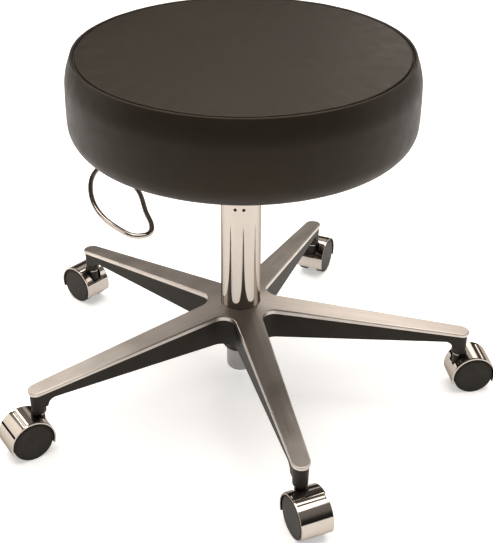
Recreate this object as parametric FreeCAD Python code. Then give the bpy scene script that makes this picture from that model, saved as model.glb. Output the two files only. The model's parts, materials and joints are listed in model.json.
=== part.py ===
"""Round height-adjustable stool on a five-leg cast base with hooded twin-wheel casters.

Millimetres. +Z is up, the origin is on the floor under the column's axis.
Every function below makes one kind of piece; write() puts each piece in its own STEP file.
"""
import FreeCAD
import Part
import math
import os

os.makedirs("parts", exist_ok=True)

# ---- Driving sizes -------------------------------------------------------------------------
# Cushion
seat_r = 203.2            # 16 inch round seat
seat_widest_z = 419.0
seat_bottom_z = 354.0
seam_r = 195.8            # sewn edge between the top panel and the side band
seam_z = 454.0
seat_top_z = 463.0
upper_side_curve = 86.5
lower_side_curve = 900.0
lower_edge_curve = 26.0
vinyl = 1.2               # cover thickness
seat_offset = 2.5         # the cushion sits this far off the axis on its slotted plate
board_r = 172.0
board_thick = 12.0
cover_hem_r = 150.0       # the cover is turned under the board this far

# Base casting
leg_count = 5
first_leg = 67.5          # direction of the first leg, degrees from +X
stem_circle = 284.0       # radius at which the casters' stems stand
hub_top = 123.0           # height that the sloping top face would reach on the axis
top_slope = 0.125
lip_at_hub = 6.3          # thickness of the polished top lip
lip_taper = 0.0075
leg_half_at_axis = 18.8   # half width of a leg, extrapolated to the axis
leg_taper = 0.0274
web_curve = 18.0          # radius between neighbouring legs
skirt_recess = 1.8        # the side walls stand this far inside the lip
leg_underside = 74.5
hub_foot_z = 53.0
hub_foot_r = 22.5
boss_bottom = 53.5        # underside of the round boss that holds a caster stem

# Column and gas spring
column_r = 25.1           # chrome sleeve
column_wall = 1.5
column_foot = 113.0
column_top = 293.0
tube_r = 18.0             # structural tube that runs through the hub
tube_wall = 2.0
tube_bottom = 17.0
tube_top = 290.0
cylinder_r = 14.0
cylinder_wall = 1.5
cylinder_bottom = 62.0
cylinder_top = 334.0
taper_start = 298.0
taper_tip_r = 13.1
rod_r = 5.0
rod_end_r = 4.0
rod_top = 213.0
running = 0.05            # radial clearance of a running fit

# Casters
wheel_r = 25.4            # 2 inch wheels
wheel_face = 18.7         # outer face of a wheel, from the caster's middle plane
wheel_inner = 8.0
trail = 18.2              # axle behind the stem
hood_in = 26.9
hood_out = 28.6
hood_half = 19.5
frame_half = 7.3
stem_r = 5.5
caster_turn = [-1.0, -1.0, 2.0, 10.0, 12.0]   # how far each caster stands off its leg's line

# Release lever
pivot_x = -22.0
pivot_z = 344.0
wire_r = 2.9
plate_half = 80.0
pan_half = 48.0
sheet = 3.0               # seat plate's metal
bolt_half = 66.0          # the four seat bolts stand on a square of twice this

Z = FreeCAD.Vector(0, 0, 1)


# ---- Small helpers -------------------------------------------------------------------------
def vec(x, y, z=0.0):
    return FreeCAD.Vector(x, y, z)


def cyl(radius, low, high, x=0.0, y=0.0):
    """Upright cylinder between two heights."""
    return Part.makeCylinder(radius, high - low, vec(x, y, low))


def ring(outer, inner, low, high, x=0.0, y=0.0):
    return cyl(outer, low, high, x, y).cut(cyl(inner, low - 1, high + 1, x, y))


def cyl_y(radius, low, high, x, z):
    """Cylinder along Y between two y values."""
    return Part.makeCylinder(radius, high - low, vec(x, low, z), vec(0, 1, 0))


def box(x0, x1, y0, y1, z0, z1):
    return Part.makeBox(x1 - x0, y1 - y0, z1 - z0, vec(x0, y0, z0))


def lathe(points):
    """Solid turned about the Z axis from a closed outline of (radius, height) points."""
    outline = [vec(r, 0, z) for r, z in points]
    face = Part.Face(Part.makePolygon(outline + outline[:1]))
    return face.revolve(vec(0, 0, 0), Z, 360)


def turned(edges):
    """Solid turned about the Z axis from edges in the XZ plane that join into one loop."""
    loop = Part.Wire(Part.__sortEdges__(edges))
    return Part.Face(loop).revolve(vec(0, 0, 0), Z, 360)


def line(a, b):
    return Part.makeLine(vec(a[0], 0, a[1]), vec(b[0], 0, b[1]))


def arc(a, middle, b):
    points = [vec(p[0], 0, p[1]) for p in (a, middle, b)]
    return Part.Arc(*points).toShape()


def on_circle(centre, radius, degrees):
    turn = math.radians(degrees)
    return (centre[0] + radius * math.cos(turn), centre[1] + radius * math.sin(turn))


def fuse(shapes):
    whole = shapes[0].multiFuse(shapes[1:])
    return whole.removeSplitter()


def group(shapes):
    return Part.makeCompound(shapes)


def spun(shape, degrees):
    copy = shape.copy()
    copy.rotate(vec(0, 0, 0), Z, degrees)
    return copy


def moved(shape, x, y, z=0.0):
    copy = shape.copy()
    copy.translate(vec(x, y, z))
    return copy


def around(shape, count, start=0.0):
    """Copies of a shape evenly spaced about the Z axis."""
    return [spun(shape, start + i * 360.0 / count) for i in range(count)]


def round_edges(shape, radius, wanted):
    """Fillet the edges that wanted(edge) picks out."""
    return shape.makeFillet(radius, [edge for edge in shape.Edges if wanted(edge)])


def leg_angle(i):
    return first_leg + i * 360.0 / leg_count


def write(name, shape):
    shape.exportStep("parts/" + name + ".step")


# ---- Base casting --------------------------------------------------------------------------
def top_z(r):
    return hub_top - top_slope * r


def lip_z(r):
    """Underside of the polished lip."""
    return top_z(r) - lip_at_hub + lip_taper * r


def star_prism(inset, low, high):
    """The five-leg outline, drawn in by inset, as an upright prism."""
    tilt = math.atan(leg_taper)
    half_step = math.radians(180.0 / leg_count)
    half = leg_half_at_axis - inset
    curve = web_curve + inset
    reach = (curve / math.cos(tilt) + half) / (math.sin(half_step) + leg_taper * math.cos(half_step))
    touch_x = reach * math.cos(half_step) - curve * math.sin(tilt)
    touch_y = reach * math.sin(half_step) - curve * math.cos(tilt)
    tip_half = half - leg_taper * stem_circle
    edges = []
    for i in range(leg_count):
        turn = FreeCAD.Rotation(Z, leg_angle(i))
        right = turn.multVec(vec(touch_x, -touch_y))
        right_tip = turn.multVec(vec(stem_circle, -tip_half))
        end = turn.multVec(vec(stem_circle + tip_half, 0))
        left_tip = turn.multVec(vec(stem_circle, tip_half))
        left = turn.multVec(vec(touch_x, touch_y))
        step = FreeCAD.Rotation(Z, leg_angle(i) + 180.0 / leg_count)
        web = step.multVec(vec(reach - curve, 0))
        following = FreeCAD.Rotation(Z, leg_angle(i + 1)).multVec(vec(touch_x, -touch_y))
        edges.append(Part.makeLine(right, right_tip))
        edges.append(Part.Arc(right_tip, end, left_tip).toShape())
        edges.append(Part.makeLine(left_tip, left))
        edges.append(Part.Arc(left, web, following).toShape())
    face = Part.Face(Part.Wire(Part.__sortEdges__(edges)))
    face.translate(vec(0, 0, low))
    return face.extrude(vec(0, 0, high - low))


def base_casting():
    rim = stem_circle + 40
    lip_band = lathe([(0, top_z(0)), (rim, top_z(rim)), (rim, lip_z(rim)), (0, lip_z(0))])
    lip = star_prism(0, 60, 140).common(lip_band)
    lip = round_edges(lip, 1.4, lambda edge: edge.CenterOfMass.z > top_z(
        math.hypot(edge.CenterOfMass.x, edge.CenterOfMass.y)) - 1.0)

    gusset_r = stem_circle - 19
    flare = leg_underside - hub_foot_z
    skirt_band = turned([
        line((0, hub_foot_z), (hub_foot_r, hub_foot_z)),
        arc((hub_foot_r, hub_foot_z), on_circle((hub_foot_r + flare, hub_foot_z), flare, 135),
            (hub_foot_r + flare, leg_underside)),
        line((hub_foot_r + flare, leg_underside), (gusset_r, leg_underside)),
        arc((gusset_r, leg_underside), (gusset_r + 7, leg_underside - 3),
            (gusset_r + 10, leg_underside - 10)),
        line((gusset_r + 10, leg_underside - 10), (rim, leg_underside - 10)),
        line((rim, leg_underside - 10), (rim, lip_z(rim) + 1)),
        line((rim, lip_z(rim) + 1), (0, lip_z(0) + 1)),
        line((0, lip_z(0) + 1), (0, hub_foot_z))])
    skirt = star_prism(skirt_recess, 40, 140).common(skirt_band)
    # Near the tips the skirt gives way to the round boss that holds the stem.
    beyond = lathe([(stem_circle + 1, 40), (rim, 40), (rim, leg_underside + 1),
                    (stem_circle + 1, leg_underside + 1)])
    skirt = skirt.cut(beyond)

    boss = turned([
        line((0, boss_bottom), (7.4, boss_bottom)),
        line((7.4, boss_bottom), (8.9, boss_bottom + 1.9)),
        line((8.9, boss_bottom + 1.9), (9.6, top_z(stem_circle) - 3)),
        line((9.6, top_z(stem_circle) - 3), (0, top_z(stem_circle) - 3)),
        line((0, top_z(stem_circle) - 3), (0, boss_bottom))])
    bosses = around(moved(boss, stem_circle, 0), leg_count, first_leg)
    casting = fuse([lip, skirt] + bosses)

    # Each leg is cast hollow and open underneath.
    wall = 3.4
    inner_end = 52.0
    outer_end = stem_circle - 24
    near = leg_half_at_axis - skirt_recess - wall - leg_taper * inner_end
    far = leg_half_at_axis - skirt_recess - wall - leg_taper * outer_end
    channel = Part.Face(Part.makePolygon([vec(inner_end, -near), vec(outer_end, -far),
                                          vec(outer_end, far), vec(inner_end, near),
                                          vec(inner_end, -near)]))
    channel = channel.extrude(vec(0, 0, 140))
    under_top = lathe([(0, 30), (rim, 30), (rim, lip_z(rim) - 1), (0, lip_z(0) - 1)])
    channel = channel.common(under_top)
    casting = casting.cut(group(around(channel, leg_count, first_leg)))

    casting = casting.cut(cyl(tube_r, hub_foot_z - 5, 140))
    casting = casting.cut(cyl(column_r + 0.5, column_foot, 140))
    sockets = around(cyl(6.25, boss_bottom - 5, boss_bottom + 27, stem_circle), leg_count, first_leg)
    return casting.cut(group(sockets))


def socket_sleeves():
    """Chromed steel sleeves, one in each leg's boss, with the flange that shows below it."""
    sleeve = fuse([ring(6.25, stem_r + running, boss_bottom, boss_bottom + 26),
                   ring(7.1, stem_r + running, boss_bottom - 1.2, boss_bottom)])
    return group(around(moved(sleeve, stem_circle, 0), leg_count, first_leg))


# ---- Column and gas spring -----------------------------------------------------------------
snap_z = 262.0
snap_angles = [-106.0, -82.0]


def snap_pins(radius, start, end):
    pin = Part.makeCylinder(radius, end - start, vec(start, 0, snap_z), vec(1, 0, 0))
    return [spun(pin, angle) for angle in snap_angles]


def column_sleeve():
    sleeve = ring(column_r, column_r - column_wall, column_foot, column_top)
    return sleeve.cut(group(snap_pins(2.1, column_r - 5, column_r + 5)))


def sleeve_adapter():
    """Plastic ring that centres the sleeve on the tube, held by two snap pins."""
    band = ring(column_r - column_wall, tube_r, snap_z - 12, snap_z + 12)
    pins = snap_pins(1.9, column_r - column_wall - 2, column_r - 0.7)
    return fuse([band] + pins)


def lift_tube():
    corner = 6.0
    inner_corner = corner - tube_wall
    inner = tube_r - tube_wall
    floor = 3.0
    low = tube_bottom
    hole = rod_end_r + 0.1
    inside_low = low + floor
    outside = on_circle((tube_r - corner, low + corner), corner, -45)
    inside = on_circle((inner - inner_corner, inside_low + inner_corner), inner_corner, -45)
    return turned([
        line((hole, low), (tube_r - corner, low)),
        arc((tube_r - corner, low), outside, (tube_r, low + corner)),
        line((tube_r, low + corner), (tube_r, tube_top)),
        line((tube_r, tube_top), (inner, tube_top)),
        line((inner, tube_top), (inner, inside_low + inner_corner)),
        arc((inner, inside_low + inner_corner), inside, (inner - inner_corner, inside_low)),
        line((inner - inner_corner, inside_low), (hole, inside_low)),
        line((hole, inside_low), (hole, low))])


def guide_bush():
    bore = cylinder_r + running
    return fuse([ring(tube_r - tube_wall, bore, 205, tube_top),
                 ring(tube_r, bore, tube_top, tube_top + 3)])


def column_cap():
    inner = cylinder_r + 0.5
    cap = ring(column_r, inner, column_top, column_top + 2.6)
    cap = round_edges(cap, 1.0, lambda edge: edge.CenterOfMass.z > column_top + 2
                      and edge.Length > 2 * math.pi * 20)
    spigot = ring(column_r - column_wall, tube_r + 0.2, column_top - 8, column_top)
    return fuse([cap, spigot])


race_low = tube_bottom + 3.0
race_thick = 1.2
ball_r = 1.5


def lower_race():
    return ring(9.0, rod_end_r + 0.15, race_low, race_low + race_thick)


def thrust_balls():
    ball = Part.makeSphere(ball_r, vec(6.8, 0, race_low + race_thick + ball_r))
    return group(around(ball, 12))


upper_race_z = race_low + race_thick + 2 * ball_r


def upper_race():
    return ring(9.0, rod_end_r, upper_race_z, upper_race_z + race_thick)


rod_shoulder = upper_race_z + race_thick
clip_z = tube_bottom - 1.6


def piston_rod():
    body = cyl(rod_r, rod_shoulder, rod_top)
    end = cyl(rod_end_r, clip_z - 2.4, rod_shoulder)
    groove = ring(rod_end_r + 1, 3.2, clip_z, clip_z + 1.1)
    return fuse([body, end]).cut(groove)


def rod_clip():
    washer = ring(7.0, 3.2, clip_z, clip_z + 1.1)
    return washer.cut(box(0, 10, -2.2, 2.2, clip_z - 1, clip_z + 3))


def bump_stop():
    low = rod_shoulder + 0.2
    high = cylinder_bottom - 0.4
    middle = (low + high) / 2
    return lathe([(rod_r, low), (12.0, low), (12.0, middle - 4), (9.5, middle), (12.0, middle + 4),
                  (11.0, high), (rod_r, high)])


def piston():
    return ring(cylinder_r - cylinder_wall - running, rod_r, rod_top - 12, rod_top - 1)


def gas_cylinder():
    inner = cylinder_r - cylinder_wall
    cap_low = 316.0
    outside = [(cylinder_r, cylinder_bottom), (cylinder_r, taper_start),
               (taper_tip_r, cylinder_top), (3.0 + running, cylinder_top)]
    inside = [(3.0 + running, cap_low + 4), (inner - 5, cap_low), (inner, cap_low - 4),
              (inner, cylinder_bottom)]
    return lathe(outside + inside)


def rod_gland():
    return ring(cylinder_r - cylinder_wall, rod_r + running, cylinder_bottom + 1, cylinder_bottom + 12)


def valve_pin():
    head = cyl(4.5, cylinder_top + 4, cylinder_top + 7)
    return fuse([cyl(3.0, cylinder_top - 14, cylinder_top + 4), head])


# ---- Seat plate and release lever ----------------------------------------------------------
plate_top = seat_bottom_z + vinyl
pan_floor = cylinder_top - sheet
slot_half = 21.0


def taper_socket():
    """Tapered steel tube welded under the plate; the cylinder's taper sits in it."""
    return lathe([(cylinder_r, taper_start), (18.0, taper_start), (19.0, taper_start + 1.5),
                  (19.0, cylinder_top), (taper_tip_r, cylinder_top)])


def seat_bolt_places():
    return [(sx * bolt_half, sy * bolt_half) for sx in (-1, 1) for sy in (-1, 1)]


def seat_plate():
    flange = box(-plate_half, plate_half, -plate_half, plate_half, plate_top - sheet, plate_top)
    flange = round_edges(flange, 14.0, lambda edge: abs(edge.Length - sheet) < 0.01)
    pan = box(-pan_half, pan_half, -pan_half, pan_half, pan_floor, plate_top)
    pan = round_edges(pan, 9.0, lambda edge: abs(edge.Length - (plate_top - pan_floor)) < 0.01)
    hollow_half = pan_half - sheet
    hollow = box(-hollow_half, hollow_half, -hollow_half, hollow_half, cylinder_top, plate_top + 5)
    hollow = round_edges(hollow, 6.0, lambda edge: edge.Vertexes[0].Z != edge.Vertexes[-1].Z)
    plate = fuse([flange, pan]).cut(hollow).cut(cyl(19.0, pan_floor - 1, cylinder_top + 1))
    for x, y in seat_bolt_places():
        plate = plate.cut(cyl(4.3, plate_top - 10, plate_top + 5, x, y))
    # Slot in the left wall for the lever's two wires, and the pivot pin's holes.
    plate = plate.cut(box(-pan_half - 1, -hollow_half + 1, -slot_half, slot_half,
                          pan_floor + 5, plate_top - sheet))
    return plate.cut(cyl_y(3.0, -pan_half - 1, pan_half + 1, pivot_x, pivot_z))


def pivot_pin():
    shank = cyl_y(3.0, -pan_half - 2.5, pan_half, pivot_x, pivot_z)
    head = cyl_y(5.0, pan_half, pan_half + 2.2, pivot_x, pivot_z)
    return fuse([shank, head])


def lever_wire():
    """One bent wire: out of the plate, down, round the D-shaped finger loop and back."""
    loop_z = 312.0
    route = [(-27, 14, 344), (-52, 14, 339), (-90, 13.5, 325), (-128, 12, 314.5),
             (-155, 6, loop_z), (-171, -20, loop_z), (-173, -63, loop_z), (-163, -108, loop_z),
             (-144, -146, loop_z), (-127, -166.5, loop_z), (-111, -177.5, loop_z),
             (-99, -173.5, loop_z), (-95.8, -161, loop_z), (-103.5, -128, loop_z),
             (-116.5, -75, loop_z), (-127, -33, 313), (-118, -15, 317), (-90, -14, 325),
             (-52, -14, 339), (-27, -14, 344)]
    points = [vec(*p) for p in route]
    curve = Part.BSplineCurve()
    curve.interpolate(points)
    path = Part.Wire(curve.toShape())
    start = curve.tangent(curve.FirstParameter)[0]
    section = Part.Wire(Part.makeCircle(wire_r, points[0], start))
    return path.makePipeShell([section], True, True)


def lever_hub(wire):
    """Steel tube on the pivot pin with the tongue that presses the valve pin."""
    tube = cyl_y(6.0, -slot_half + 1, slot_half - 1, pivot_x, pivot_z)
    tongue = box(pivot_x, 5.0, -7.0, 7.0, cylinder_top + 8.7, cylinder_top + 12.2)
    nib = cyl_y(1.6, -6.0, 6.0, 0.0, cylinder_top + 8.95)
    hub = fuse([tube, tongue, nib])
    return hub.cut(cyl_y(3.0 + running, -30, 30, pivot_x, pivot_z)).cut(wire)


# ---- Cushion -------------------------------------------------------------------------------
def cushion_points(inset):
    """Named points of the cushion's outline, drawn in by inset all over."""
    drop = seat_widest_z - seat_bottom_z - lower_edge_curve
    spread = math.sqrt((lower_side_curve - lower_edge_curve) ** 2 - drop ** 2)
    lean = math.degrees(math.atan2(drop, spread))
    edge_centre = (seat_r - lower_side_curve + spread, seat_bottom_z + lower_edge_curve)
    side_centre = (seat_r - lower_side_curve, seat_widest_z)
    upper_centre = (seat_r - upper_side_curve, seat_widest_z)
    corner = (seam_r - inset, seam_z - inset)
    rise = math.degrees(math.atan2(corner[1] - upper_centre[1], corner[0] - upper_centre[0]))
    crown = seat_top_z - inset
    sag = crown - corner[1]
    crown_curve = (corner[0] ** 2 + sag ** 2) / (2 * sag)
    crown_tilt = math.degrees(math.asin(corner[0] / crown_curve))
    crown_centre = (0, crown - crown_curve)
    return {"low": (edge_centre[0], seat_bottom_z + inset),
            "edge_middle": on_circle(edge_centre, lower_edge_curve - inset, -45),
            "edge_top": on_circle(edge_centre, lower_edge_curve - inset, -lean),
            "side_middle": on_circle(side_centre, lower_side_curve - inset, -lean / 2),
            "widest": (seat_r - inset, seat_widest_z),
            "upper_middle": on_circle(upper_centre, upper_side_curve - inset, rise / 2),
            "corner": corner,
            "quarter": on_circle(crown_centre, crown_curve, 90 - crown_tilt / 2),
            "crown": (0, crown)}


def side_edges(inset):
    """The three arcs from the flat underside up to the seam."""
    p = cushion_points(inset)
    return [arc(p["low"], p["edge_middle"], p["edge_top"]),
            arc(p["edge_top"], p["side_middle"], p["widest"]),
            arc(p["widest"], p["upper_middle"], p["corner"])]


def cushion_core():
    """Everything inside the cover."""
    p = cushion_points(vinyl)
    return turned([line((0, p["low"][1]), p["low"])] + side_edges(vinyl)
                  + [arc(p["corner"], p["quarter"], p["crown"]),
                     line(p["crown"], (0, p["low"][1]))])


def seat_top_panel():
    outer = cushion_points(0)
    inner = cushion_points(vinyl)
    panel = turned([arc(outer["corner"], outer["quarter"], outer["crown"]),
                    line(outer["crown"], inner["crown"]),
                    arc(inner["crown"], inner["quarter"], inner["corner"]),
                    line(inner["corner"], outer["corner"])])
    return moved(panel, seat_offset, 0)


def seat_side_band():
    """Side of the cover, with the hem that is turned in under the board."""
    outer = cushion_points(0)
    inner = cushion_points(vinyl)
    band = turned(side_edges(0) + [line(outer["corner"], inner["corner"])] + side_edges(vinyl)
                  + [line(inner["low"], (cover_hem_r, inner["low"][1])),
                     line((cover_hem_r, inner["low"][1]), (cover_hem_r, outer["low"][1])),
                     line((cover_hem_r, outer["low"][1]), outer["low"])])
    return moved(band, seat_offset, 0)


board_low = seat_bottom_z + vinyl
board_high = board_low + board_thick


def seat_board():
    board = cyl(board_r, board_low, board_high)
    board = moved(board, seat_offset, 0)
    for x, y in seat_bolt_places():
        board = board.cut(cyl(5.2, board_low - 1, board_high + 1, x, y))
    return board


def t_nuts():
    nuts = []
    for x, y in seat_bolt_places():
        nuts.append(fuse([ring(5.2, 4.0, board_high - 9, board_high, x, y),
                          ring(9.5, 4.0, board_high, board_high + 1.6, x, y)]))
    return group(nuts)


def plate_bolts():
    """Hex bolts through the plate into the T-nuts."""
    bolts = []
    head_low = plate_top - sheet - 5.3
    for x, y in seat_bolt_places():
        corners = [on_circle((x, y), 7.5, 60 * i) for i in range(7)]
        hexagon = Part.Face(Part.makePolygon([vec(a, b, head_low) for a, b in corners]))
        bolts.append(fuse([hexagon.extrude(vec(0, 0, 5.3)),
                           cyl(3.95, head_low + 5.3, board_high + 1, x, y)]))
    return group(bolts)


def seat_foam():
    foam = moved(cushion_core(), seat_offset, 0)
    foam = foam.cut(moved(cyl(board_r, board_low - 5, board_high), seat_offset, 0))
    for x, y in seat_bolt_places():
        foam = foam.cut(cyl(9.5, board_high - 1, board_high + 1.6, x, y))
    return foam


dust_cover_r = 163.0


def dust_cover():
    sheet_of_cloth = moved(cyl(dust_cover_r, seat_bottom_z - 0.7, seat_bottom_z), seat_offset, 0)
    opening = plate_half + 3
    return sheet_of_cloth.cut(box(-opening, opening, -opening, opening, 300, 400))


def staples():
    crown = box(dust_cover_r - 6.4, dust_cover_r - 5.2, -5, 5, seat_bottom_z - 1.4, seat_bottom_z - 0.7)
    return moved(group(around(crown, 24, 7.5)), seat_offset, 0)


# ---- Casters -------------------------------------------------------------------------------
# Drawn with the stem on the Z axis and the axle at x = trail, so +X is the trailing side.
def hood_angle(degrees, radius):
    return on_circle((trail, wheel_r), radius, degrees)


def caster_hood():
    start, end = -21.0, 201.0
    groove, groove_low = 72.0, hood_out - 1.3
    lobe = hood_out + 1.1
    outer = [
        arc(hood_angle(start, hood_out), hood_angle(22, hood_out), hood_angle(65, hood_out)),
        arc(hood_angle(65, hood_out), hood_angle(groove, groove_low), hood_angle(79, hood_out + 0.6)),
        arc(hood_angle(79, hood_out + 0.6), hood_angle(110, lobe), hood_angle(158, hood_out)),
        arc(hood_angle(158, hood_out), hood_angle(180, hood_out), hood_angle(end, hood_out)),
        line(hood_angle(end, hood_out), hood_angle(end, hood_in)),
        arc(hood_angle(end, hood_in), hood_angle(90, hood_in), hood_angle(start, hood_in)),
        line(hood_angle(start, hood_in), hood_angle(start, hood_out))]
    middle_half = hood_half - 1.6
    face = Part.Face(Part.Wire(outer))
    face.translate(vec(0, -middle_half, 0))
    shell = face.extrude(vec(0, 2 * middle_half, 0))
    rim = Part.Face(Part.Wire([
        arc(hood_angle(start, hood_out), hood_angle(90, hood_out), hood_angle(end, hood_out)),
        line(hood_angle(end, hood_out), hood_angle(end, hood_in)),
        arc(hood_angle(end, hood_in), hood_angle(90, hood_in), hood_angle(start, hood_in)),
        line(hood_angle(start, hood_in), hood_angle(start, hood_out))]))
    rims = []
    for low in (-hood_half, middle_half):
        side = rim.copy()
        side.translate(vec(0, low, 0))
        rims.append(side.extrude(vec(0, hood_half - middle_half, 0)))
    hood = shell.multiFuse(rims)
    return hood.cut(cyl(10.6, 38, 70))


neck_top = boss_bottom - 1.6
stem_low = 36.0


def caster_frame():
    """Moulded body between the wheels: the web, the neck round the stem and the axle's bearing."""
    web = cyl_y(hood_in, -frame_half, frame_half, trail, wheel_r)
    web = web.common(box(-40, 60, -20, 20, wheel_r - 9.5, 80))
    neck = cyl(6.6, stem_low - 6, neck_top)
    body = fuse([web, neck])
    body = body.cut(cyl(stem_r, stem_low, 80))
    return body.cut(cyl_y(3.0, -20, 20, trail, wheel_r))


def caster_stem():
    top = boss_bottom + 23
    stem = cyl(stem_r, stem_low, top)
    tip = stem.makeChamfer(1.2, [e for e in stem.Edges if abs(e.CenterOfMass.z - top) < 0.01
                                 and e.Length > 20])
    return tip.cut(ring(stem_r + 1, stem_r - 0.7, top - 8, top - 5.5))


def caster_axle():
    return cyl_y(3.0, -15.4, 15.4, trail, wheel_r)


def caster_wheel(side):
    """Dished nylon wheel; side is +1 or -1 along Y."""
    face_in = wheel_face - 2.6
    profile = [(3.0 + running, 7.6), (7.0, 7.6), (7.0, face_in), (22.0, face_in), (22.4, wheel_inner),
               (24.4, wheel_inner), (wheel_r, wheel_inner + 1.0), (wheel_r, wheel_face - 1.6),
               (wheel_r - 0.5, wheel_face - 0.5), (wheel_r - 1.6, wheel_face),
               (23.0, wheel_face), (22.6, wheel_face - 0.5), (22.2, wheel_face),
               (0, wheel_face), (0, 15.9), (3.0 + running, 15.9)]
    wheel = lathe(profile)
    wheel.rotate(vec(0, 0, 0), vec(1, 0, 0), -90 * side)
    wheel.translate(vec(trail, 0, wheel_r))
    return wheel


def placed(shape, i):
    """A caster piece at leg i, turned to the way that caster stands."""
    leg = math.radians(leg_angle(i))
    copy = spun(shape, leg_angle(i) + caster_turn[i])
    return moved(copy, stem_circle * math.cos(leg), stem_circle * math.sin(leg))


# ---- Write every piece ---------------------------------------------------------------------
write("base_casting", base_casting())
write("socket_sleeves", socket_sleeves())
write("column_sleeve", column_sleeve())
write("sleeve_adapter", sleeve_adapter())
write("column_cap", column_cap())
write("lift_tube", lift_tube())
write("guide_bush", guide_bush())
write("thrust_lower_race", lower_race())
write("thrust_balls", thrust_balls())
write("thrust_upper_race", upper_race())
write("piston_rod", piston_rod())
write("rod_clip", rod_clip())
write("bump_stop", bump_stop())
write("piston", piston())
write("gas_cylinder", gas_cylinder())
write("rod_gland", rod_gland())
write("valve_pin", valve_pin())
write("taper_socket", taper_socket())
write("seat_plate", seat_plate())
write("lever_pivot_pin", pivot_pin())
bent_wire = lever_wire()
write("lever_wire", bent_wire)
write("lever_hub", lever_hub(bent_wire))
write("seat_top_panel", seat_top_panel())
write("seat_side_band", seat_side_band())
write("seat_foam", seat_foam())
write("seat_board", seat_board())
write("seat_t_nuts", t_nuts())
write("seat_bolts", plate_bolts())
write("dust_cover", dust_cover())
write("dust_cover_staples", staples())
caster_pieces = {"hood": caster_hood(), "frame": caster_frame(), "stem": caster_stem(),
                 "axle": caster_axle(), "wheel_left": caster_wheel(1), "wheel_right": caster_wheel(-1)}
for number in range(leg_count):
    for piece, shape in caster_pieces.items():
        write("caster_%d_%s" % (number + 1, piece), placed(shape, number))
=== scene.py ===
import json
import math
import random

import bpy
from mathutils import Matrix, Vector, noise


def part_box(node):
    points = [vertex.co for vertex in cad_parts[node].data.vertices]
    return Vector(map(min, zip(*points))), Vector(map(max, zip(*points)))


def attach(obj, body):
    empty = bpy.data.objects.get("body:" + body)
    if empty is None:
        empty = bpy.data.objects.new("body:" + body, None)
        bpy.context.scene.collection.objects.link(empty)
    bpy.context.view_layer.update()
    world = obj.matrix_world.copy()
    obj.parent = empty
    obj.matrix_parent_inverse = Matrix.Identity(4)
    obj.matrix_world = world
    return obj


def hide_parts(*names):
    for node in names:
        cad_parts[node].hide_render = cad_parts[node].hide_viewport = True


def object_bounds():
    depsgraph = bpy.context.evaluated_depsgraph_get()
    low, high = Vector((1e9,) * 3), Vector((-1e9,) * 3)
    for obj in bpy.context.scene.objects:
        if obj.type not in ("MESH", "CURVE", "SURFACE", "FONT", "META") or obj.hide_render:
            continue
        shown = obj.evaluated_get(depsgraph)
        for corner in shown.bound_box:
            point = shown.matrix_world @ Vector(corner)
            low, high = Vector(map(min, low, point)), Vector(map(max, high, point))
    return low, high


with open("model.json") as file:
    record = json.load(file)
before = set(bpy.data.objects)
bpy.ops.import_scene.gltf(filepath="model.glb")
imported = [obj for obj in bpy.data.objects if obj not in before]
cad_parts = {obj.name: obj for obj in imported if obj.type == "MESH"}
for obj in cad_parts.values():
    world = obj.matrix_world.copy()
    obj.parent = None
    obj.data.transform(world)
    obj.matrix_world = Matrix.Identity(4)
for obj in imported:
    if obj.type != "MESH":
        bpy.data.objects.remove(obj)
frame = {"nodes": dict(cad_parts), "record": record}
cad_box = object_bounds()
nodes = frame["nodes"]
scene = bpy.context.scene

# ---- Sizes, in metres ----------------------------------------------------------------------
panel_low, panel_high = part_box("seat_top_panel")
band_low, band_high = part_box("seat_side_band")
hem_cloth_low, hem_cloth_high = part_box("dust_cover")
plate_low, plate_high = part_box("seat_plate")
board_low, board_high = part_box("seat_board")

seat_centre = (band_low + band_high) / 2
seat_radius = (band_high.y - band_low.y) / 2
seam_radius = (panel_high.y - panel_low.y) / 2
seat_bottom = band_low.z
seam_height = band_high.z
seat_top = panel_high.z
widest_height = seat_bottom + 0.065
upper_side_curve = 0.0865
lower_edge_curve = 0.026
hem_radius = 0.150
vinyl_thick = 0.0012
lower_edge_inset = 0.0268  # the lower edge's arc is centred this far inside the widest place
around_seat = 256          # points round the cushion
join_direction = math.pi / 2
join_half = 0.034          # radians each side of the join that get closer points
join_step = 0.004

# The five-leg casting: its top falls away from the hub, and a bright lip runs round it
leg_count = 5
first_leg = 67.5           # degrees
hub_height = 0.123
leg_slope = 0.125
lip_at_hub = 0.0063
lip_taper = 0.0075
hub_bore = 0.026

# The seam, measured outward over the cover from where its two skins meet
groove_back = 0.0040       # stitched groove, inside the seam's ridge
groove_depth = 0.0030
groove_half = 0.0011
ridge_back = 0.0012
ridge_height = 0.0007
ridge_half = 0.0015
stitch_pitch = 0.0047
stitch_radius = 0.00034


# ---- Small helpers -------------------------------------------------------------------------
def link(obj):
    scene.collection.objects.link(obj)
    return obj


def mesh_object(name, points, faces, smooth=True):
    mesh = bpy.data.meshes.new(name)
    mesh.from_pydata(points, [], faces)
    mesh.validate()
    mesh.update()
    for polygon in mesh.polygons:
        polygon.use_smooth = smooth
    return link(bpy.data.objects.new(name, mesh))


def lathe_faces(rows, count):
    """Quads between rows of count points that close round."""
    faces = []
    for row in range(rows - 1):
        for i in range(count):
            j = (i + 1) % count
            a = row * count
            faces.append((a + i, a + count + i, a + count + j, a + j))
    return faces


def smooth_step(low, high, value):
    t = min(max((value - low) / (high - low), 0.0), 1.0)
    return t * t * (3 - 2 * t)


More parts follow.
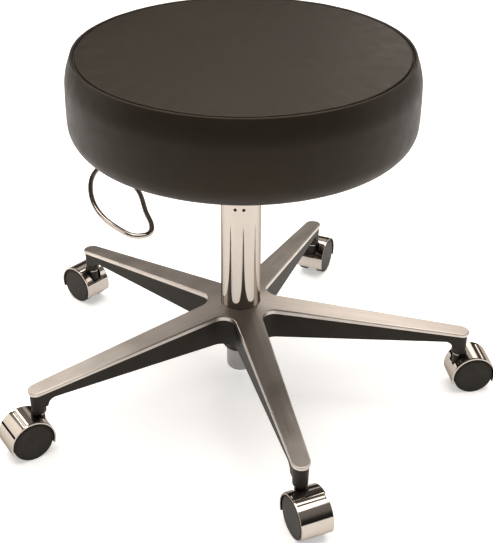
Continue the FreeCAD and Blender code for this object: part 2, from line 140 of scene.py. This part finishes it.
# ---- Shader helpers ------------------------------------------------------------------------
class Shader:
    """A material's node tree, built a call at a time."""

    def __init__(self, name, colour, roughness, metallic=0.0, **fixed):
        self.material = bpy.data.materials.new(name)
        self.material.use_nodes = True
        self.tree = self.material.node_tree
        self.bsdf = self.tree.nodes["Principled BSDF"]
        self.bsdf.inputs["Base Color"].default_value = (*colour, 1)
        self.bsdf.inputs["Roughness"].default_value = roughness
        self.bsdf.inputs["Metallic"].default_value = metallic
        for socket, value in fixed.items():
            self.bsdf.inputs[socket.replace("_", " ")].default_value = value
        self.place = self.tree.nodes.new("ShaderNodeTexCoord").outputs["Object"]

    def add(self, kind, inputs=(), **settings):
        made = self.tree.nodes.new("ShaderNode" + kind)
        for key, value in settings.items():
            setattr(made, key, value)
        for key, value in dict(inputs).items():
            self.put(made.inputs[key], value)
        return made

    def put(self, socket, value):
        if isinstance(value, bpy.types.NodeSocket):
            self.tree.links.new(value, socket)
        else:
            socket.default_value = value

    def math(self, operation, a, b=0.0):
        return self.add("Math", {0: a, 1: b}, operation=operation).outputs[0]

    def scaled(self, x, y, z, source=None):
        inputs = {"Vector": source or self.place, "Scale": (x, y, z)}
        return self.add("Mapping", inputs).outputs[0]

    def noise(self, where, scale, detail=3.0, rough=0.5):
        inputs = {"Vector": where, "Scale": scale, "Detail": detail, "Roughness": rough}
        return self.add("TexNoise", inputs).outputs["Fac"]

    def cells(self, where, scale):
        return self.add("TexVoronoi", {"Vector": where, "Scale": scale}).outputs["Distance"]

    def span(self, value, low, high, source_low=0.3, source_high=0.7):
        """A value from source_low to source_high, brought to low to high."""
        inputs = {"Value": value, "From Min": source_low, "From Max": source_high,
                  "To Min": low, "To Max": high}
        return self.add("MapRange", inputs).outputs[0]

    def mix(self, factor, a, b):
        mixer = self.add("Mix", {"Factor": factor}, data_type="RGBA")
        self.put(mixer.inputs[6], (*a, 1) if isinstance(a, tuple) else a)
        self.put(mixer.inputs[7], (*b, 1) if isinstance(b, tuple) else b)
        return mixer.outputs[2]

    def colour(self, value):
        self.put(self.bsdf.inputs["Base Color"], value)

    def roughness(self, value):
        self.put(self.bsdf.inputs["Roughness"], value)

    def bump(self, height, distance, strength=1.0, under=None):
        inputs = {"Height": height, "Distance": distance, "Strength": strength}
        made = self.add("Bump", inputs)
        if under is not None:
            self.put(made.inputs["Normal"], under)
        self.put(self.bsdf.inputs["Normal"], made.outputs[0])
        return made.outputs[0]


# ---- Materials -----------------------------------------------------------------------------
def vinyl_material():
    """Dark upholstery vinyl with a fine pressed grain."""
    s = Shader("vinyl", (0.011, 0.009, 0.0072), 0.46, Specular_IOR_Level=0.25,
               Specular_Tint=(1.0, 0.85, 0.70, 1))
    clouds = s.noise(s.place, 9.0, 4.0)
    s.colour(s.mix(s.span(clouds, 0.0, 1.0), (0.0145, 0.0112, 0.0080), (0.0175, 0.0138, 0.0100)))
    grain = s.cells(s.place, 1300.0)
    fine = s.noise(s.place, 2600.0, 2.0)
    patches = s.noise(s.place, 60.0, 3.0)
    s.roughness(s.math("ADD", s.span(grain, 0.40, 0.48, 0.0, 0.6), s.span(patches, -0.03, 0.05)))
    soft = s.bump(clouds, 0.0008, 0.25)
    pressed = s.bump(grain, 0.00006, 0.55, soft)
    s.bump(fine, 0.00002, 0.4, pressed)
    return s.material


def thread_material():
    s = Shader("seam_thread", (0.016, 0.013, 0.012), 0.6, Sheen_Weight=0.3)
    twist = s.add("TexWave", {"Vector": s.place, "Scale": 900.0, "Distortion": 1.5})
    s.colour(s.mix(twist.outputs["Fac"], (0.012, 0.010, 0.009), (0.030, 0.025, 0.022)))
    s.bump(twist.outputs["Fac"], 0.0001, 0.6)
    s.roughness(s.span(twist.outputs["Fac"], 0.5, 0.7, 0.0, 1.0))
    return s.material


def leg_frame(s):
    """Distance along and across a leg, whichever of the five it is, and the height."""
    split = s.add("SeparateXYZ", {"Vector": s.place})
    x, y, z = split.outputs
    angle = s.math("ARCTAN2", y, x)
    first = math.radians(first_leg)
    step = 2 * math.pi / leg_count
    folded = s.math("SUBTRACT", angle, first - step / 2 - 4 * math.pi)
    folded = s.math("SUBTRACT", s.math("MODULO", folded, step), step / 2)
    reach = s.math("SQRT", s.math("ADD", s.math("MULTIPLY", x, x), s.math("MULTIPLY", y, y)))
    along = s.math("MULTIPLY", reach, s.math("COSINE", folded))
    across = s.math("MULTIPLY", reach, s.math("SINE", folded))
    return s.add("CombineXYZ", {"X": along, "Y": across, "Z": z}).outputs[0]


def polished_aluminium():
    """Satin cast aluminium, brushed along each leg."""
    s = Shader("polished_aluminium", (0.57, 0.52, 0.48), 0.34, 1.0)
    leg = leg_frame(s)
    lines = s.noise(s.scaled(9.0, 900.0, 60.0, leg), 1.0, 4.0, 0.6)
    coarse = s.noise(s.scaled(4.0, 230.0, 40.0, leg), 1.0, 3.0)
    clouds = s.noise(s.place, 22.0, 3.0, 0.5)
    tone = s.math("ADD", s.span(lines, 0.0, 0.5), s.span(clouds, 0.0, 0.5))
    s.colour(s.mix(tone, (0.44, 0.394, 0.356), (0.64, 0.585, 0.54)))
    rough = s.math("ADD", s.span(coarse, 0.32, 0.38), s.span(clouds, -0.03, 0.03))
    s.roughness(rough)
    cast = s.bump(clouds, 0.0004, 0.06)
    s.bump(lines, 0.00003, 0.5, cast)
    return s.material


def leg_paint():
    """Black textured paint on the casting's walls and underside."""
    s = Shader("leg_paint", (0.014, 0.012, 0.010), 0.52, Specular_IOR_Level=0.25,
               Specular_Tint=(1.0, 0.88, 0.76, 1))
    speck = s.noise(s.place, 900.0, 3.0)
    clouds = s.noise(s.place, 30.0, 3.0)
    s.colour(s.mix(s.span(clouds, 0.0, 1.0), (0.011, 0.0095, 0.008), (0.018, 0.0155, 0.0135)))
    s.roughness(s.span(speck, 0.45, 0.60))
    s.bump(speck, 0.00008, 0.5)
    return s.material


def chrome_material(name, tint, roughness):
    s = Shader(name, tint, roughness, 1.0, Specular_Tint=(0.42, 0.39, 0.36, 1))
    smear = s.noise(s.place, 55.0, 5.0, 0.6)
    fine = s.noise(s.scaled(1.0, 1.0, 0.25), 420.0, 2.0)
    s.roughness(s.math("ADD", s.span(smear, roughness - 0.015, roughness + 0.03),
                       s.span(fine, 0.0, 0.012)))
    s.colour(s.mix(s.span(smear, 0.0, 1.0), tint, tuple(0.965 * c for c in tint)))
    s.bump(s.noise(s.place, 38.0, 2.0), 0.0002, 0.05)
    return s.material


def turned_steel(name, colour, roughness):
    """Steel turned or drawn round the Z axis, with fine rings."""
    s = Shader(name, colour, roughness, 1.0)
    rings = s.noise(s.scaled(8.0, 8.0, 1800.0), 1.0, 3.0)
    patches = s.noise(s.place, 45.0, 4.0)
    s.colour(s.mix(s.span(patches, 0.0, 1.0), tuple(0.8 * c for c in colour), colour))
    s.roughness(s.math("ADD", s.span(rings, roughness - 0.05, roughness + 0.05),
                       s.span(patches, -0.04, 0.06)))
    s.bump(rings, 0.00003, 0.5)
    return s.material


def painted_steel():
    s = Shader("painted_steel", (0.020, 0.020, 0.021), 0.42)
    peel = s.noise(s.place, 420.0, 2.0)
    scuffs = s.noise(s.scaled(40.0, 90.0, 60.0), 1.0, 5.0, 0.7)
    s.colour(s.mix(s.span(scuffs, 0.0, 1.0, 0.55, 0.75), (0.018, 0.018, 0.019), (0.045, 0.043, 0.042)))
    s.roughness(s.span(peel, 0.36, 0.48))
    s.bump(peel, 0.0001, 0.35)
    return s.material


def moulded_plastic(name, colour, roughness, grain_scale):
    s = Shader(name, colour, roughness, Specular_IOR_Level=0.22,
               Specular_Tint=(1.0, 0.88, 0.76, 1))
    grain = s.noise(s.place, grain_scale, 3.0)
    wear = s.noise(s.place, 70.0, 4.0, 0.65)
    lighter = tuple(min(1.0, 1.5 * c + 0.004) for c in colour)
    s.colour(s.mix(s.span(wear, 0.0, 1.0, 0.42, 0.72), colour, lighter))
    s.roughness(s.math("ADD", s.span(grain, roughness - 0.05, roughness + 0.06),
                       s.span(wear, -0.03, 0.04)))
    s.bump(grain, 0.00007, 0.5)
    return s.material


def foam_material():
    s = Shader("foam", (0.62, 0.55, 0.36), 0.9)
    pores = s.cells(s.place, 900.0)
    age = s.noise(s.place, 14.0, 3.0)
    s.colour(s.mix(s.span(age, 0.0, 1.0), (0.56, 0.48, 0.30), (0.70, 0.63, 0.44)))
    s.roughness(s.span(pores, 0.85, 1.0, 0.0, 0.6))
    s.bump(pores, 0.0004, 0.8)
    return s.material


def plywood_material():
    s = Shader("plywood", (0.46, 0.31, 0.17), 0.65)
    fibre = s.noise(s.scaled(9.0, 240.0, 240.0), 1.0, 5.0, 0.6)
    ply = s.add("TexWave", {"Vector": s.scaled(0.0, 0.0, 1.0), "Scale": 130.0},
                bands_direction="Z").outputs["Fac"]
    tone = s.math("MULTIPLY", s.span(fibre, 0.3, 1.0), s.span(ply, 0.65, 1.0, 0.0, 1.0))
    s.colour(s.mix(tone, (0.25, 0.15, 0.075), (0.58, 0.42, 0.25)))
    s.roughness(s.span(fibre, 0.55, 0.75))
    s.bump(fibre, 0.0002, 0.4)
    return s.material


def dust_cloth_material():
    """Thin black non-woven cloth with its pressed dots."""
    s = Shader("dust_cloth", (0.022, 0.021, 0.020), 0.85, Sheen_Weight=0.25)
    dots = s.cells(s.scaled(1.0, 1.0, 0.0), 420.0)
    fibre = s.noise(s.place, 1500.0, 4.0, 0.7)
    s.colour(s.mix(s.span(fibre, 0.0, 1.0), (0.014, 0.014, 0.013), (0.038, 0.036, 0.034)))
    s.roughness(s.span(fibre, 0.78, 0.95))
    s.bump(s.math("ADD", dots, s.math("MULTIPLY", fibre, 0.4)), 0.0002, 0.6)
    return s.material


def weld_material():
    s = Shader("weld", (0.10, 0.095, 0.09), 0.5, 0.8)
    scale = s.noise(s.place, 300.0, 4.0)
    s.colour(s.mix(s.span(scale, 0.0, 1.0), (0.05, 0.045, 0.045), (0.17, 0.15, 0.14)))
    s.roughness(s.span(scale, 0.4, 0.7))
    s.bump(scale, 0.0002, 0.6)
    return s.material


chrome = chrome_material("chrome", (0.50, 0.455, 0.41), 0.055)
wire_chrome = chrome_material("wire_chrome", (0.50, 0.455, 0.415), 0.09)
grey_steel = turned_steel("grey_steel", (0.34, 0.335, 0.335), 0.38)
bright_steel = turned_steel("bright_steel", (0.58, 0.575, 0.57), 0.22)
finishes = {
    "cast_aluminium": polished_aluminium(),
    "chrome_plate": chrome,
    "chrome_wire": wire_chrome,
    "grey_steel": grey_steel,
    "bearing_steel": bright_steel,
    "black_steel": painted_steel(),
    "black_plastic": moulded_plastic("collar_plastic", (0.013, 0.012, 0.011), 0.40, 700.0),
    "bush_plastic": moulded_plastic("bush_plastic", (0.62, 0.60, 0.54), 0.42, 500.0),
    "caster_plastic": moulded_plastic("caster_plastic", (0.012, 0.0112, 0.0102), 0.45, 800.0),
    "wheel_plastic": moulded_plastic("wheel_plastic", (0.012, 0.0105, 0.0088), 0.50, 1100.0),
    "black_rubber": moulded_plastic("rubber", (0.018, 0.018, 0.018), 0.72, 400.0),
    "vinyl": vinyl_material(),
    "foam": foam_material(),
    "plywood": plywood_material(),
    "dust_cloth": dust_cloth_material(),
}


def finish_cad_nodes():
    """Each CAD node takes the finish of its material slot."""
    for part in frame["record"]["subparts"]:
        obj = nodes[part["node"]]
        for place in obj.material_slots:
            place.material = finishes[part["material_slot"]]


def paint_leg_walls():
    """The casting's top and lip are bare metal, and everything under the lip is black."""
    casting = nodes["base_casting"]
    casting.data.materials.append(leg_paint())
    for polygon in casting.data.polygons:
        x, y, z = polygon.center
        reach = math.hypot(x, y)
        lip_under = hub_height - leg_slope * reach - (lip_at_hub - lip_taper * reach)
        flat_under_lip = polygon.normal.z < -0.5
        in_hub = reach < hub_bore
        if z < lip_under + 0.0004 or flat_under_lip or (in_hub and z < hub_height - 0.012):
            polygon.material_index = len(casting.data.materials) - 1


# ---- Cushion -------------------------------------------------------------------------------
def arc_points(centre, radius, start, end, count):
    """Points (radius, height) along an arc, its ends included; angles in degrees."""
    points = []
    for i in range(count + 1):
        turn = math.radians(start + (end - start) * i / count)
        points.append((centre[0] + radius * math.cos(turn), centre[1] + radius * math.sin(turn)))
    return points


def cover_outline():
    """The cover from the middle of the top, over the seam, down the side and in under the board.

    Returns the points (radius, height) and how many of them belong to the top panel.
    """
    sag = seat_top - seam_height
    crown_curve = (seam_radius ** 2 + sag ** 2) / (2 * sag)
    tilt = math.degrees(math.asin(seam_radius / crown_curve))
    top = arc_points((0, seat_top - crown_curve), crown_curve, 90, 90 - tilt, 60)
    side_centre = (seat_radius - upper_side_curve, widest_height)
    rise = math.degrees(math.asin((seam_height - widest_height) / upper_side_curve))
    upper = arc_points(side_centre, upper_side_curve, rise, 0, 14)[1:]
    edge_centre = (seat_radius - lower_edge_inset, seat_bottom + lower_edge_curve)
    edge = arc_points(edge_centre, lower_edge_curve, -2, -90, 16)
    lower = []
    for i in range(1, 12):
        t = i / 12
        bulge = 0.0008 * 4 * t * (1 - t)
        lower.append((upper[-1][0] + (edge[0][0] - upper[-1][0]) * t + bulge,
                      upper[-1][1] + (edge[0][1] - upper[-1][1]) * t))
    flat = [(edge[-1][0] + (hem_radius - edge[-1][0]) * i / 8, seat_bottom) for i in range(1, 9)]
    return top + upper + lower + edge + flat, len(top)


def lengths(points):
    """How far along the outline each of its points lies."""
    total = [0.0]
    for (r0, z0), (r1, z1) in zip(points, points[1:]):
        total.append(total[-1] + math.hypot(r1 - r0, z1 - z0))
    return total


def at_length(points, run, wanted):
    """The point and the outward normal at a distance along the outline."""
    i = 0
    while i < len(run) - 2 and run[i + 1] < wanted:
        i += 1
    t = (wanted - run[i]) / (run[i + 1] - run[i])
    (r0, z0), (r1, z1) = points[i], points[i + 1]
    along = Vector((r1 - r0, z1 - z0)).normalized()
    return Vector((r0 + (r1 - r0) * t, z0 + (z1 - z0) * t)), Vector((-along.y, along.x))


def on_seat(point, turn):
    return Vector((seat_centre.x + point.x * math.cos(turn),
                   seat_centre.y + point.x * math.sin(turn), point.y))


def simulate_cover(points, run):
    """Swells a coarse copy of the cover as a cloth and returns how far each of its points moved."""
    rows, count = 64, 128
    start_inset = 0.0012
    coarse = []
    for row in range(rows + 1):
        point, out = at_length(points, run, max(run[-1] * row / rows, 0.0001))
        for i in range(count):
            coarse.append(on_seat(point - out * start_inset, 2 * math.pi * i / count))
    faces = lathe_faces(rows + 1, count) + [tuple(reversed(range(count)))]
    still = [[0.0] * count for _ in range(rows + 1)]
    obj = mesh_object("cover_cloth", coarse, faces)
    held = obj.vertex_groups.new(name="held")
    seam_row = round(rows * seam_length / run[-1])
    hem_rows = [row for row in range(rows + 1) if at_length(points, run, run[-1] * row / rows)[0].y
                < seat_bottom + 0.001]
    rng = random.Random(7)
    for row in [seam_row] + hem_rows:
        for i in range(count):
            weight = 1.0 if row != seam_row else 0.55 + 0.35 * rng.random()
            held.add([row * count + i], weight, "REPLACE")
    cloth = obj.modifiers.new("cloth", "CLOTH").settings
    cloth.quality = 6
    cloth.mass = 0.5
    cloth.tension_stiffness = 40
    cloth.compression_stiffness = 40
    cloth.shear_stiffness = 20
    cloth.bending_stiffness = 8
    cloth.use_pressure = True
    cloth.uniform_pressure_force = 4.0
    cloth.effector_weights.gravity = 0
    cloth.vertex_group_mass = "held"
    cloth.pin_stiffness = 1.0
    for number in range(1, 21):
        scene.frame_set(number)
    graph = bpy.context.evaluated_depsgraph_get()
    moved = obj.evaluated_get(graph).to_mesh()
    limit = 0.0016
    for row in range(rows + 1):
        point, out = at_length(points, run, max(run[-1] * row / rows, 0.0001))
        for i in range(count):
            turn = 2 * math.pi * i / count
            outward = on_seat(point + out, turn) - on_seat(point, turn)
            shift = (moved.vertices[row * count + i].co - on_seat(point, turn)).dot(outward)
            still[row][i] = shift
        level = sum(still[row]) / count
        gain = 0.6 * smooth_step(0.12, 0.19, point.x)
        still[row] = [min(max(gain * (shift - level), -limit), limit) for shift in still[row]]
    bpy.data.objects.remove(obj)
    scene.frame_set(1)
    return still


def swell_at(field, run, wanted, turn):
    """The cloth's outward movement at a distance along the outline and an angle round it."""
    rows, count = len(field) - 1, len(field[0])
    row = min(wanted / run[-1] * rows, rows - 1e-6)
    column = turn / (2 * math.pi) * count % count
    i, j = int(row), int(column)
    u, v = row - i, column - j
    k = (j + 1) % count
    near = field[i][j] * (1 - v) + field[i][k] * v
    far = field[i + 1][j] * (1 - v) + field[i + 1][k] * v
    return near * (1 - u) + far * u


def seam_relief(distance):
    """Outward relief at a signed distance from the seam: a groove, then the folded ridge."""
    groove = -groove_depth * math.exp(-((distance + groove_back) / groove_half) ** 2)
    ridge = ridge_height * math.exp(-((distance + ridge_back) / ridge_half) ** 2)
    return groove + ridge


def pucker(distance, turn):
    """Faint gathers that the stitching pulls into the vinyl next to the seam."""
    reach = math.exp(-abs(distance) / 0.016)
    where = Vector((9 * math.cos(turn), 9 * math.sin(turn), distance * 30))
    fine = Vector((34 * math.cos(turn), 34 * math.sin(turn), distance * 12))
    return reach * (0.00022 * noise.noise(where) + 0.00009 * noise.noise(fine))


def pleat(point, turn):
    """Radial folds where the vinyl is pulled in under the board."""
    under = smooth_step(0.186, 0.174, point.x) * smooth_step(seat_bottom + 0.02, seat_bottom, point.y)
    fold = 0.5 + 0.5 * math.cos(44 * turn + 1.3 * math.sin(5 * turn))
    return -under * 0.0007 * fold ** 3


def softness(point, turn):
    """The slow unevenness of hand-wrapped foam."""
    where = Vector((11 * point.x * math.cos(turn), 11 * point.x * math.sin(turn), 14 * point.y))
    return 0.0005 * noise.noise(where)


def seat_directions():
    """Directions round the seat, closer together at the join in the band at the back."""
    even = [2 * math.pi * i / around_seat for i in range(around_seat)]
    near = [join_direction + join_step * k for k in range(-8, 9)]
    return sorted([turn for turn in even if abs(turn - join_direction) > join_half] + near)


def band_join(point, from_seam, turn):
    """The sewn join at the back, where the ends of the side band meet."""
    aside = (turn - join_direction) * seat_radius
    here = smooth_step(0.002, 0.005, from_seam) * smooth_step(0.176, 0.19, point.x)
    groove = -0.0013 * math.exp(-(aside / 0.0010) ** 2)
    lips = 0.0005 * math.exp(-((abs(aside) - 0.0028) / 0.0016) ** 2)
    return here * (groove + lips)


def fullness(point):
    """The foam's squash pushes the band out a little, most at its lower edge."""
    below_seam = smooth_step(seam_height - 0.004, seam_height - 0.03, point.y)
    lower_edge = smooth_step(seat_bottom + 0.05, seat_bottom + 0.012, point.y)
    tucked = smooth_step(0.172, 0.188, point.x)
    return (0.0009 * below_seam + 0.0013 * lower_edge) * tucked


def cover_surface(field, points, run, distances):
    """Rows of the finished cover at the given distances along its outline."""
    vertices = []
    for wanted in distances:
        point, out = at_length(points, run, wanted)
        from_seam = wanted - seam_length
        for turn in directions:
            relief = seam_relief(from_seam) + pucker(from_seam, turn) + pleat(point, turn)
            relief += band_join(point, from_seam, turn)
            lift = swell_at(field, run, wanted, turn) + relief
            if point.y > seat_bottom + 0.004:
                lift += softness(point, turn)
            place = point + out * (lift + fullness(point))
            place.y = max(place.y, seat_bottom - 0.0022)
            vertices.append(on_seat(place, turn))
    return vertices


def spaced(start, end, step):
    count = max(1, round(abs(end - start) / step))
    return [start + (end - start) * i / count for i in range(count + 1)]


def sheet_piece(name, vertices, rows, centre_fan=False):
    """A skin of the cover with its real thickness, on the seat body."""
    faces = lathe_faces(rows, len(directions))
    if centre_fan:
        faces.append(tuple(reversed(range(len(directions)))))
    obj = mesh_object(name, vertices, faces)
    thick = obj.modifiers.new("thickness", "SOLIDIFY")
    thick.thickness = vinyl_thick
    thick.offset = -1
    obj.data.materials.append(finishes["vinyl"])
    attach(obj, "seat")
    return obj


def make_cover():
    field = simulate_cover(outline, outline_run)
    fine_from = seam_length - 0.0078
    top_rows = [0.0006] + spaced(0.006, fine_from, 0.006) + spaced(fine_from, seam_length, 0.0003)[1:]
    fine_to = seam_length + 0.0055
    side_rows = (spaced(seam_length, fine_to, 0.0003)
                 + spaced(fine_to, outline_run[-1], 0.0032)[1:])
    top = sheet_piece("cushion_top_panel", cover_surface(field, outline, outline_run, top_rows),
                      len(top_rows), centre_fan=True)
    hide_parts("seat_top_panel")
    side = sheet_piece("cushion_side_band", cover_surface(field, outline, outline_run, side_rows),
                       len(side_rows))
    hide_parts("seat_side_band")
    make_foam(field)
    make_stitches(field)


def make_foam(field):
    """The foam inside the cover, open below for the board."""
    inset = 0.0019
    rows = [0.0006] + spaced(0.02, outline_run[-1] - 0.03, 0.02)
    vertices = []
    for wanted in rows:
        point, out = at_length(outline, outline_run, wanted)
        for i in range(around_seat // 4):
            turn = 8 * math.pi * i / around_seat
            lift = swell_at(field, outline_run, wanted, turn) + softness(point, turn)
            vertices.append(on_seat(point + out * (lift - inset), turn))
    count = around_seat // 4
    inner = (board_high.y - board_low.y) / 2 + 0.0005
    for radius, height in ((inner, seat_bottom + inset), (inner, board_high.z + 0.0003)):
        for i in range(count):
            vertices.append(on_seat(Vector((radius, height)), 2 * math.pi * i / count))
    faces = lathe_faces(len(rows) + 2, count)
    faces.append(tuple(reversed(range(count))))
    last = (len(rows) + 1) * count
    faces.append(tuple(range(last, last + count)))
    obj = mesh_object("cushion_foam", vertices, faces)
    obj.data.materials.append(finishes["foam"])
    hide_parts("seat_foam")
    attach(obj, "seat")


def add_thread(vertices, faces, path, radius, sides=6):
    """A short thread along path, tapering into the vinyl at both ends."""
    first = len(vertices)
    for k, centre in enumerate(path):
        ahead = path[min(k + 1, len(path) - 1)] - path[max(k - 1, 0)]
        across = ahead.cross(Vector((0, 0, 1))).normalized()
        upward = across.cross(ahead).normalized()
        size = radius * (0.55 if k in (0, len(path) - 1) else 1.0)
        for i in range(sides):
            a = 2 * math.pi * i / sides
            vertices.append(centre + (across * math.cos(a) + upward * math.sin(a)) * size)
    for k in range(len(path) - 1):
        for i in range(sides):
            j = (i + 1) % sides
            a = first + k * sides
            faces.append((a + i, a + j, a + sides + j, a + sides + i))
    faces.append(tuple(first + i for i in range(sides)))
    last = first + (len(path) - 1) * sides
    faces.append(tuple(last + i for i in reversed(range(sides))))


def make_stitches(field):
    """The row of stitches in the groove beside the seam."""
    vertices, faces = [], []
    wanted = seam_length - groove_back
    point, out = at_length(outline, outline_run, wanted)
    count = round(2 * math.pi * point.x / stitch_pitch)
    for n in range(count):
        path = []
        for k in range(5):
            turn = 2 * math.pi * (n + 0.14 + 0.72 * k / 4) / count
            arch = 0.0004 * math.sin(math.pi * k / 4)
            lift = swell_at(field, outline_run, wanted, turn) + seam_relief(-groove_back) + arch
            lift += softness(point, turn) + pucker(-groove_back, turn)
            path.append(on_seat(point + out * lift, turn))
        add_thread(vertices, faces, path, stitch_radius)
    obj = mesh_object("seam_stitches", vertices, faces)
    obj.data.materials.append(thread_material())
    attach(obj, "seat")


def make_dust_cloth():
    """The thin cloth stapled under the seat, slack between its staples."""
    radius = (hem_cloth_high.y - hem_cloth_low.y) / 2
    opening = plate_high.x + 0.003
    rows, count = 20, 192
    vertices = []
    for row in range(rows + 1):
        t = row / rows
        for i in range(count):
            turn = 2 * math.pi * i / count
            edge = opening / max(abs(math.cos(turn)), abs(math.sin(turn)))
            reach = edge + (radius - edge) * t
            x = seat_centre.x * t + reach * math.cos(turn)
            y = reach * math.sin(turn)
            slack = 0.0016 * math.sin(math.pi * min(t, 0.95)) ** 0.7
            ripple = 0.0009 * noise.noise(Vector((x * 22, y * 22, 3.1)))
            pinch = 0.0005 * math.cos(24 * (turn - math.radians(7.5))) * smooth_step(0.6, 0.95, t)
            height = hem_cloth_low.z + 0.0002 - slack + ripple * math.sin(math.pi * t) + pinch * (1 - t)
            vertices.append((x, y, height))
    obj = mesh_object("dust_cloth", vertices, lathe_faces(rows + 1, count))
    thick = obj.modifiers.new("thickness", "SOLIDIFY")
    thick.thickness = 0.0004
    thick.offset = 1
    obj.data.materials.append(finishes["dust_cloth"])
    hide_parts("dust_cover")
    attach(obj, "seat")


def make_weld_bead():
    """The rippled weld where the taper socket meets the seat plate."""
    socket_low, socket_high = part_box("taper_socket")
    radius = (socket_high.x - socket_low.x) / 2
    count, sides = 240, 8
    vertices = []
    for i in range(count):
        turn = 2 * math.pi * i / count
        size = 0.0021 + 0.00035 * abs(math.sin(34 * turn))
        for k in range(sides):
            a = 2 * math.pi * k / sides
            reach = radius + size * math.cos(a)
            vertices.append((reach * math.cos(turn), reach * math.sin(turn),
                             plate_low.z + size * math.sin(a)))
    faces = []
    for i in range(count):
        for k in range(sides):
            j, m = (i + 1) % count, (k + 1) % sides
            faces.append((i * sides + k, j * sides + k, j * sides + m, i * sides + m))
    obj = mesh_object("socket_weld_bead", vertices, faces)
    obj.data.materials.append(weld_material())
    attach(obj, "seat")


# ---- Stage, light and camera ---------------------------------------------------------------
def make_floor():
    half = 2.6
    z = cad_box[0].z
    floor = mesh_object("floor", [(-half, -half, z), (half, -half, z), (half, half, z),
                                  (-half, half, z)], [(0, 1, 2, 3)], smooth=False)
    s = Shader("floor", (0.93, 0.925, 0.915), 0.9, Emission_Color=(1.0, 0.995, 0.985, 1),
               Emission_Strength=0.45)
    paper = s.noise(s.place, 3.0, 2.0)
    s.colour(s.mix(s.span(paper, 0.0, 1.0), (0.925, 0.92, 0.91), (0.935, 0.93, 0.922)))
    floor.data.materials.append(s.material)


def area_light(name, place, size, power, colour=(1, 1, 1), target=(0, 0, 0.25)):
    lamp = bpy.data.lights.new(name, "AREA")
    lamp.shape = "RECTANGLE"
    lamp.size, lamp.size_y = size
    lamp.energy = power
    lamp.color = colour
    obj = link(bpy.data.objects.new(name, lamp))
    obj.location = place
    obj.rotation_euler = (Vector(target) - Vector(place)).to_track_quat("-Z", "Y").to_euler()


def make_lights():
    warm = (1.0, 0.94, 0.87)
    area_light("overhead", (0.0, 0.2, 2.6), (3.2, 3.2), 95, (1.0, 0.95, 0.90))
    area_light("left_box", (-2.2, 0.3, 0.9), (1.2, 1.2), 7, warm)
    area_light("right_box", (2.2, 0.3, 0.9), (1.2, 1.2), 7, warm)
    area_light("back_right_box", (0.85, 2.15, 1.35), (0.7, 0.8), 3.6, warm)
    area_light("back_left_box", (-1.5, 1.35, 1.6), (0.5, 0.8), 6.5, warm)
    area_light("back_panel", (0.45, 2.5, 1.9), (2.2, 1.1), 3.6, warm)
    make_world()


def make_world():
    """A room that is dark near the horizon and lighter overhead, in front of a white backdrop."""
    world = bpy.data.worlds.new("studio")
    scene.world = world
    world.use_nodes = True
    tree = world.node_tree
    room = tree.nodes["Background"]
    room.inputs["Strength"].default_value = 0.55
    direction = tree.nodes.new("ShaderNodeTexCoord").outputs["Generated"]
    split = tree.nodes.new("ShaderNodeSeparateXYZ")
    tree.links.new(direction, split.inputs[0])
    ramp = tree.nodes.new("ShaderNodeValToRGB")
    tree.links.new(split.outputs["Z"], ramp.inputs[0])
    stops = ramp.color_ramp.elements
    stops[0].color = (0.030, 0.027, 0.024, 1)
    stops[1].color = (0.60, 0.57, 0.535, 1)
    for position, level in ((0.30, 0.075), (0.55, 0.42)):
        stops.new(position).color = (level, 0.92 * level, 0.84 * level, 1)
    tree.links.new(ramp.outputs["Color"], room.inputs["Color"])
    backdrop = tree.nodes.new("ShaderNodeBackground")
    backdrop.inputs["Color"].default_value = (1, 1, 0.99, 1)
    seen = tree.nodes.new("ShaderNodeLightPath").outputs["Is Camera Ray"]
    either = tree.nodes.new("ShaderNodeMixShader")
    tree.links.new(seen, either.inputs["Fac"])
    tree.links.new(room.outputs[0], either.inputs[1])
    tree.links.new(backdrop.outputs[0], either.inputs[2])
    tree.links.new(either.outputs[0], tree.nodes["World Output"].inputs["Surface"])


camera_away = 1.2047
camera_height = 0.8895
camera_down = 31.16        # degrees below level
camera_roll = 0.16
camera_lens = 73.56
camera_shift = 0.0106


def make_camera():
    """The photographed view: 31 degrees down, a little over a metre from the column."""
    camera = bpy.data.cameras.new("camera")
    camera.sensor_width = 36
    camera.lens = camera_lens
    camera.shift_x = camera_shift
    obj = link(bpy.data.objects.new("camera", camera))
    obj.location = (0.0, -camera_away, camera_height)
    obj.rotation_mode = "ZYX"
    obj.rotation_euler = (math.radians(90 - camera_down), 0, math.radians(camera_roll))
    scene.camera = obj


directions = seat_directions()
outline, top_count = cover_outline()
outline_run = lengths(outline)
seam_length = outline_run[top_count - 1]

scene.view_settings.view_transform = "Standard"
make_camera()
make_floor()
make_lights()
finish_cad_nodes()
paint_leg_walls()
make_cover()
make_dust_cloth()
make_weld_bead()
